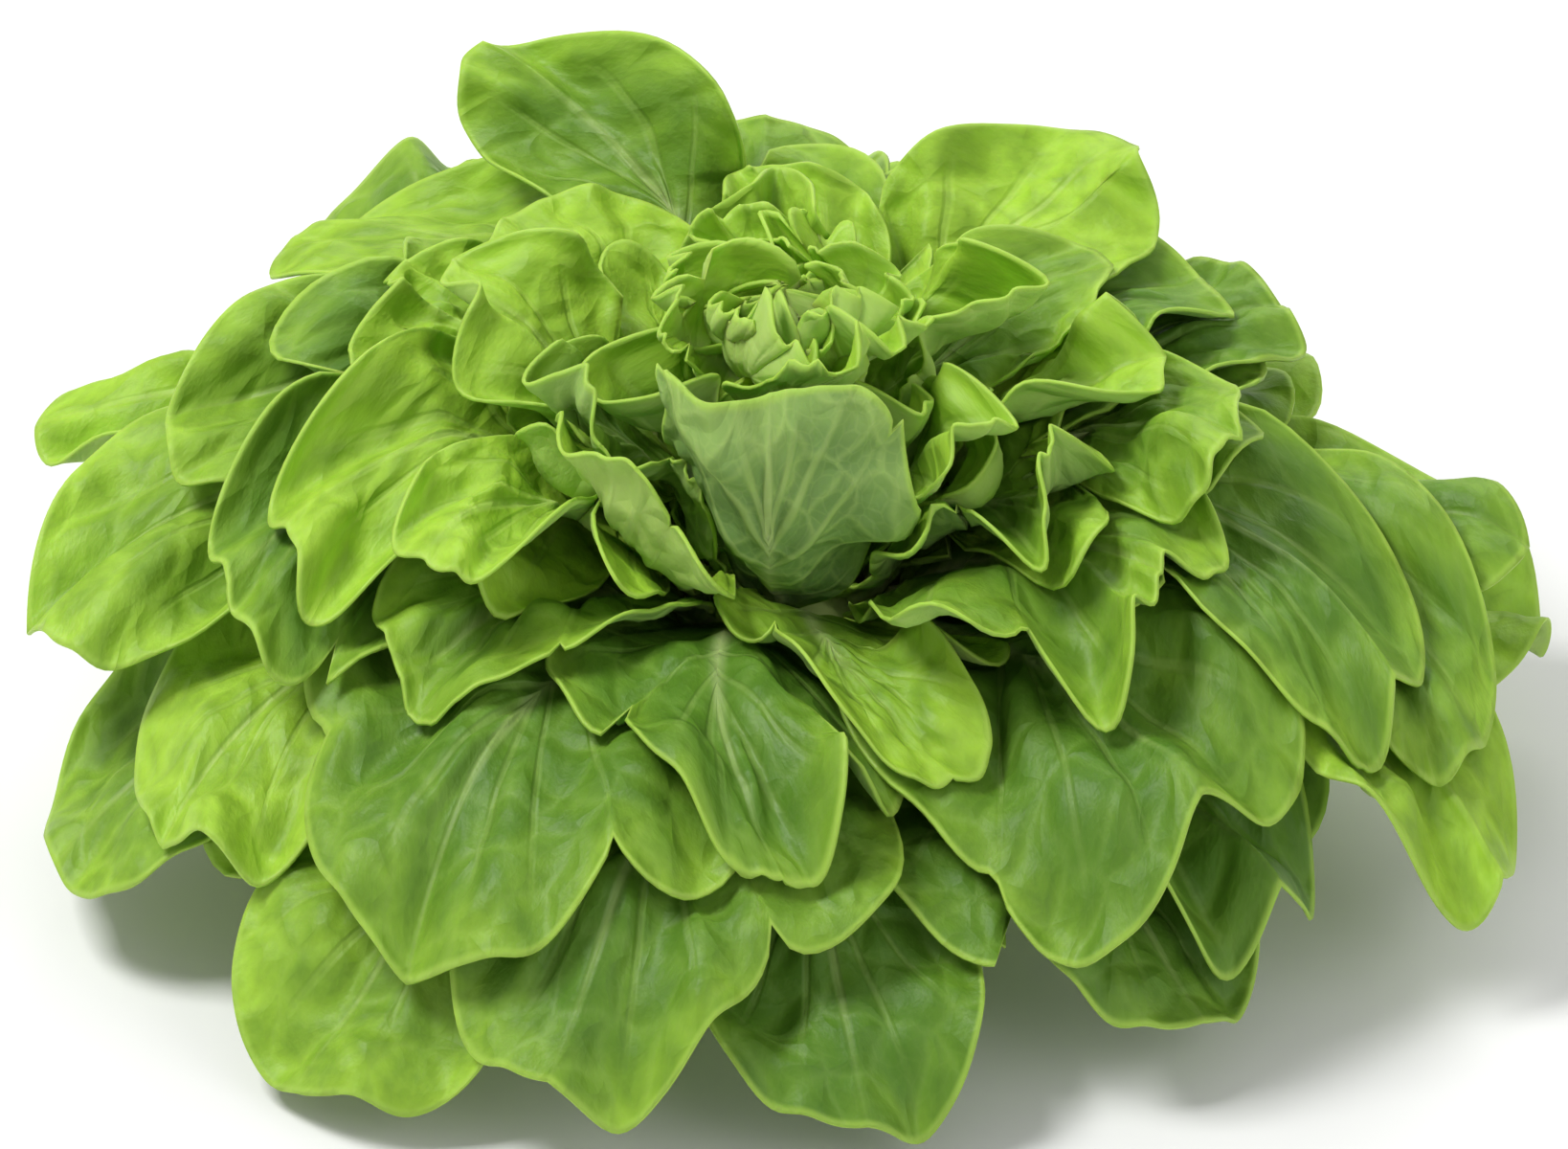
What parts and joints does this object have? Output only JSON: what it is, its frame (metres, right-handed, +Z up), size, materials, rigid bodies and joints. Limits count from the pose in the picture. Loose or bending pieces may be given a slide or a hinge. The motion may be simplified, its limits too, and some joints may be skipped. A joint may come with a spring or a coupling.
{
  "type": "green oak leaf lettuce",
  "caption": "Whole loose head of green oak leaf lettuce: round-lobed wavy leaves in a low rosette round a curled yellow-green heart, standing on its flat cut stem.",
  "frame": {"origin": "centre of the flat cut face of the stem, on which the head stands", "axes": "+Z up through the heart, -Y towards the front that the picture shows, +X to its right"},
  "size_m": [0.2957, 0.258, 0.1243],
  "materials": {
    "outer_leaf": "fresh leaf, satin, middle to dark green with a thin pale rim",
    "inner_leaf": "fresh leaf, satin, yellow-green with pale veins",
    "heart_leaf": "young leaf, satin, bright yellow-green",
    "stem": "pale cream-green stem, moist cut face"
  },
  "bodies": {
    "root": {"cut_stem": "stem", "low_leaf_front_left": "outer_leaf", "low_leaf_front_right": "outer_leaf", "low_leaf_right": "outer_leaf", "low_leaf_far_right": "outer_leaf", "low_leaf_back_right": "outer_leaf", "low_leaf_back": "outer_leaf", "low_leaf_back_left": "outer_leaf", "low_leaf_left": "outer_leaf", "skirt_leaf_front": "outer_leaf", "skirt_leaf_front_right": "outer_leaf", "skirt_leaf_right": "outer_leaf", "skirt_leaf_side_right": "outer_leaf", "skirt_leaf_back_right": "outer_leaf", "skirt_leaf_back_left": "outer_leaf", "skirt_leaf_side_left": "outer_leaf", "skirt_leaf_front_left": "outer_leaf", "wide_leaf_side_right": "outer_leaf", "wide_leaf_back_right": "outer_leaf", "wide_leaf_back": "outer_leaf", "wide_leaf_back_left": "outer_leaf", "wide_leaf_left": "outer_leaf", "cupped_leaf_front_left": "outer_leaf", "mid_leaf_front": "outer_leaf", "mid_leaf_front_right": "outer_leaf", "mid_leaf_right": "outer_leaf", "mid_leaf_side_right": "outer_leaf", "mid_leaf_back_right": "outer_leaf", "mid_leaf_back_left": "outer_leaf", "mid_leaf_side_left": "inner_leaf", "upright_leaf_left": "inner_leaf", "small_leaf_front_left": "inner_leaf", "folded_leaf_front": "inner_leaf", "ruffled_leaf_right": "inner_leaf", "high_leaf_right": "inner_leaf", "high_leaf_side_right": "inner_leaf", "high_leaf_back": "inner_leaf", "tall_leaf_back_left": "inner_leaf", "high_leaf_back_left": "inner_leaf", "high_leaf_left": "inner_leaf", "high_leaf_front_left": "inner_leaf", "pale_leaf_back_right": "inner_leaf", "pale_leaf_front_left": "inner_leaf", "inner_leaf_front_right": "inner_leaf", "inner_leaf_right": "inner_leaf", "inner_leaf_side_right": "inner_leaf", "inner_leaf_back": "inner_leaf", "inner_leaf_back_left": "inner_leaf", "inner_leaf_side_left": "inner_leaf", "curled_leaf_left": "inner_leaf", "veined_leaf_front": "inner_leaf", "narrow_leaf_front_right": "inner_leaf", "crown_leaf_front_right": "inner_leaf", "crown_leaf_back_right": "inner_leaf", "crown_leaf_back": "inner_leaf", "crown_leaf_front_left": "inner_leaf", "heart": "heart_leaf"}
  },
  "joints": []
}
